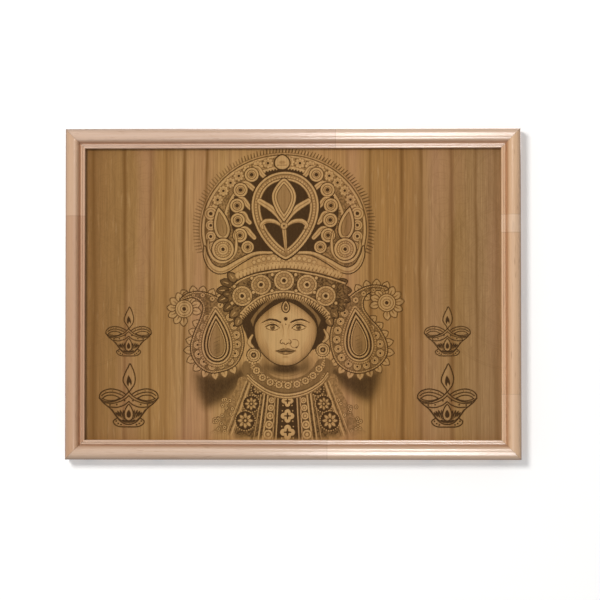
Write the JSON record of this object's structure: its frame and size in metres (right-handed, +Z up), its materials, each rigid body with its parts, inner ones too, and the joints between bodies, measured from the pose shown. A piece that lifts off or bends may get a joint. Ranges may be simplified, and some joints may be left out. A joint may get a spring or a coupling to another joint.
{
  "type": "engraved wooden wall plaque",
  "caption": "Wall-hung wooden plaque: a veneer panel engraved with a crowned goddess and oil lamps, held in a mitred moulding by turn buttons and hung by a sawtooth hanger.",
  "frame": {"origin": "the root of the sawtooth hanger's middle notch, half way through the strip, where the wall nail carries the plaque", "axes": "+X to the viewer's right along the plaque's width, +Y towards the wall, +Z up; the engraved face looks along -Y"},
  "size_m": [0.3186, 0.0196, 0.2316],
  "materials": {
    "moulding": "clear satin lacquer on pale hardwood",
    "veneer": "matt, laser engraved",
    "plywood": "raw",
    "hardboard": "raw",
    "zinc": "zinc plated",
    "steel": "bare",
    "rubber": "moulded"
  },
  "bodies": {
    "frame": {"top_rail": "moulding", "bottom_rail": "moulding", "left_stile": "moulding", "right_stile": "moulding", "engraved_veneer": "veneer", "plywood_core": "plywood", "backing_board": "hardboard", "mitre_wedge_top_left_1": "steel", "mitre_wedge_top_left_2": "steel", "mitre_wedge_top_right_1": "steel", "mitre_wedge_top_right_2": "steel", "mitre_wedge_bottom_left_1": "steel", "mitre_wedge_bottom_left_2": "steel", "mitre_wedge_bottom_right_1": "steel", "mitre_wedge_bottom_right_2": "steel", "button_screw_top_left": "zinc", "button_screw_top_right": "zinc", "button_screw_bottom_left": "zinc", "button_screw_bottom_right": "zinc", "button_screw_left": "zinc", "button_screw_right": "zinc", "sawtooth_hanger": "steel", "hanger_nail_left": "steel", "hanger_nail_right": "steel", "wall_bumper_left": "rubber", "wall_bumper_right": "rubber"},
    "turn_button_top_left": {"turn_button_top_left": "zinc"},
    "turn_button_top_right": {"turn_button_top_right": "zinc"},
    "turn_button_bottom_left": {"turn_button_bottom_left": "zinc"},
    "turn_button_bottom_right": {"turn_button_bottom_right": "zinc"},
    "turn_button_left": {"turn_button_left": "zinc"},
    "turn_button_right": {"turn_button_right": "zinc"}
  },
  "joints": [
    {"name": "turn_top_left", "type": "hinge", "parent": "frame", "child": "turn_button_top_left", "pos_m": [-0.095, -0.00155, 0.0028], "axis": [0, 1, 0], "continuous": true},
    {"name": "turn_top_right", "type": "hinge", "parent": "frame", "child": "turn_button_top_right", "pos_m": [0.095, -0.00155, 0.0028], "axis": [0, 1, 0], "continuous": true},
    {"name": "turn_bottom_left", "type": "hinge", "parent": "frame", "child": "turn_button_bottom_left", "pos_m": [-0.095, -0.00155, -0.2185], "axis": [0, 1, 0], "continuous": true},
    {"name": "turn_bottom_right", "type": "hinge", "parent": "frame", "child": "turn_button_bottom_right", "pos_m": [0.095, -0.00155, -0.2185], "axis": [0, 1, 0], "continuous": true},
    {"name": "turn_left", "type": "hinge", "parent": "frame", "child": "turn_button_left", "pos_m": [-0.15415, -0.00155, -0.10785], "axis": [0, 1, 0], "continuous": true},
    {"name": "turn_right", "type": "hinge", "parent": "frame", "child": "turn_button_right", "pos_m": [0.15415, -0.00155, -0.10785], "axis": [0, 1, 0], "continuous": true}
  ]
}
